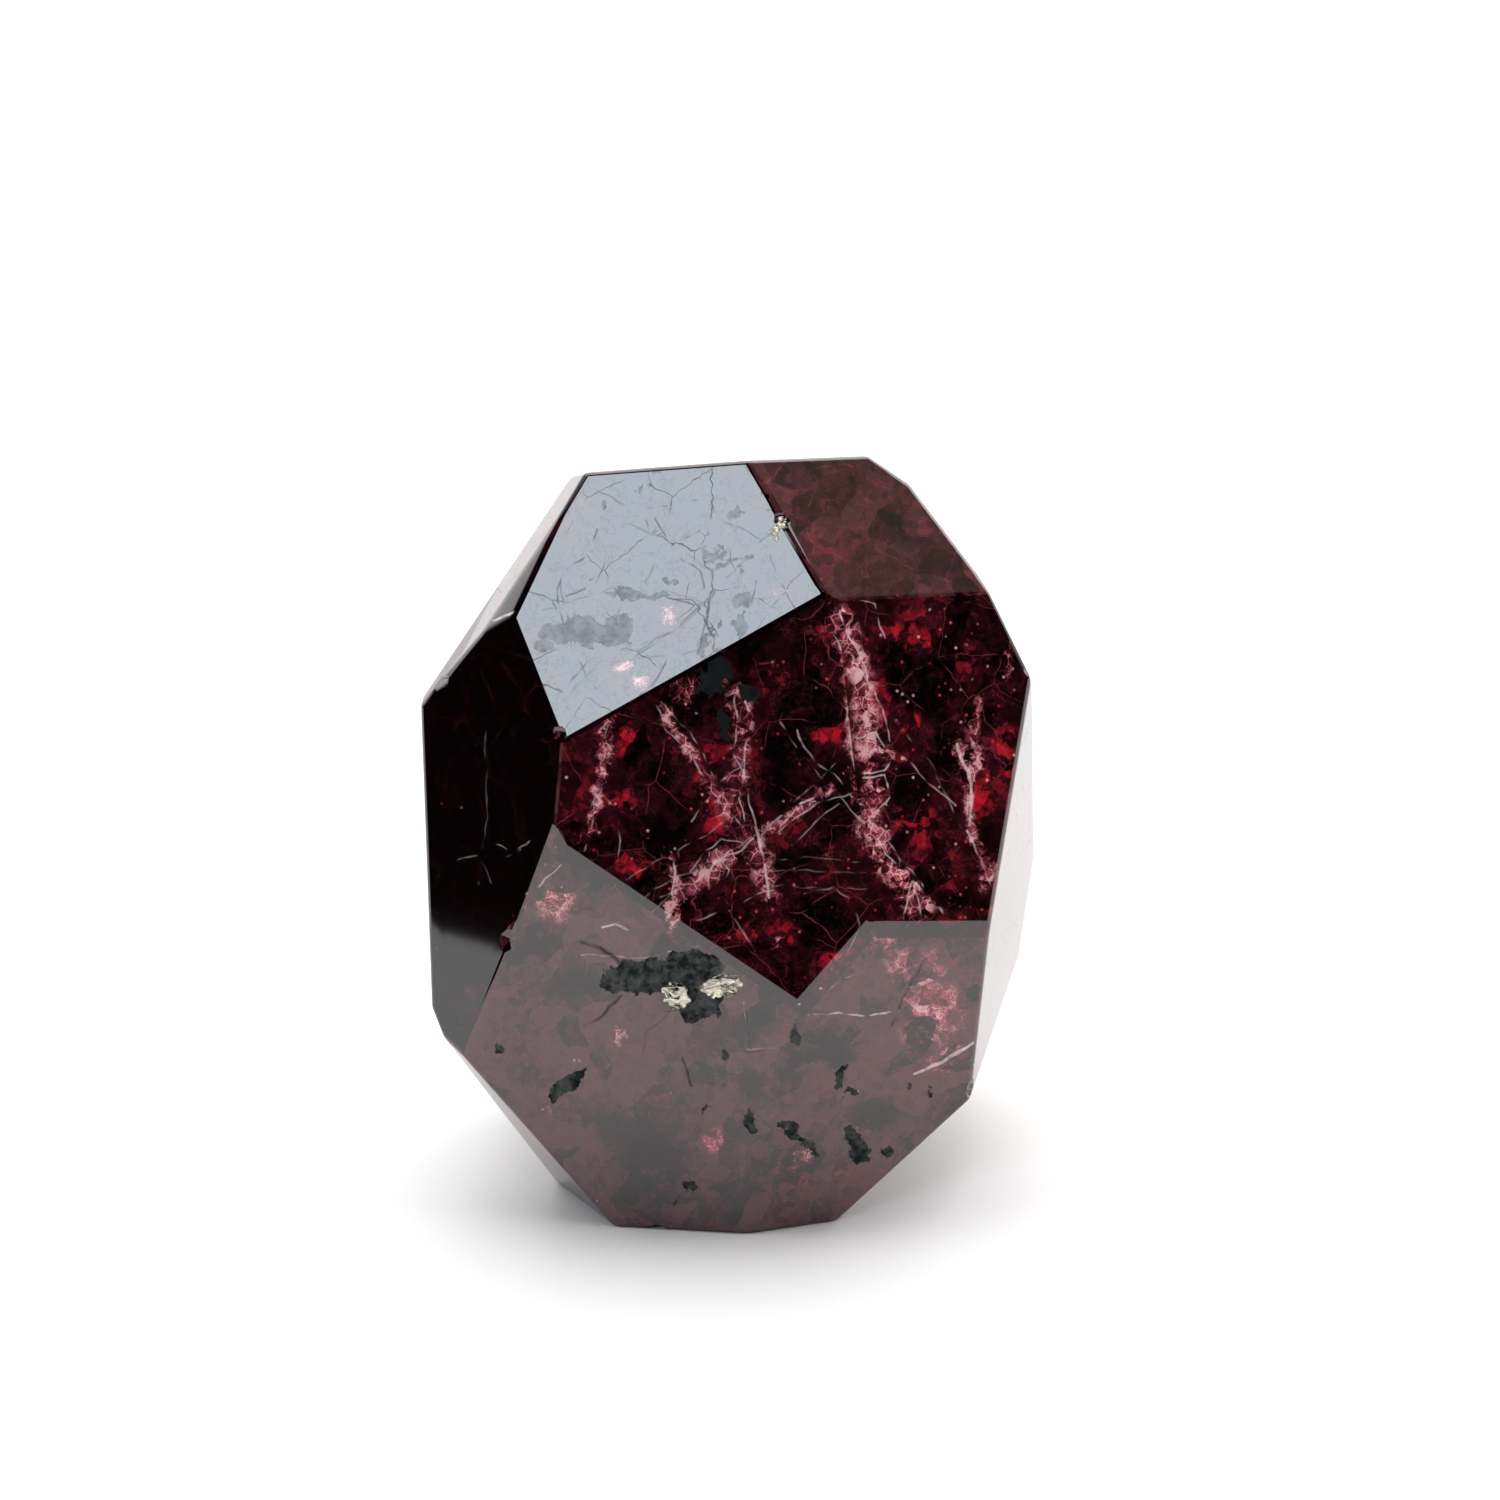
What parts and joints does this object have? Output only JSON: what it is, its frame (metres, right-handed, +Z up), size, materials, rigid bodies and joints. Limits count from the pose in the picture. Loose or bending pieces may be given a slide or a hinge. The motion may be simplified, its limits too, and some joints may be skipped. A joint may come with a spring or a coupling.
{
  "type": "polished garnet free-form",
  "caption": "Dark red garnet stone ground to a rounded block of flat polished facets, standing on a small flat base as a display piece.",
  "frame": {"origin": "middle of the bounding box's underside, on the base facet that the stone stands on", "axes": "+Z up, and the large front facets face -Y"},
  "size_m": [0.039, 0.0309, 0.0475],
  "materials": {
    "garnet": "polished"
  },
  "bodies": {
    "root": {"garnet_free_form": "garnet"}
  },
  "joints": []
}
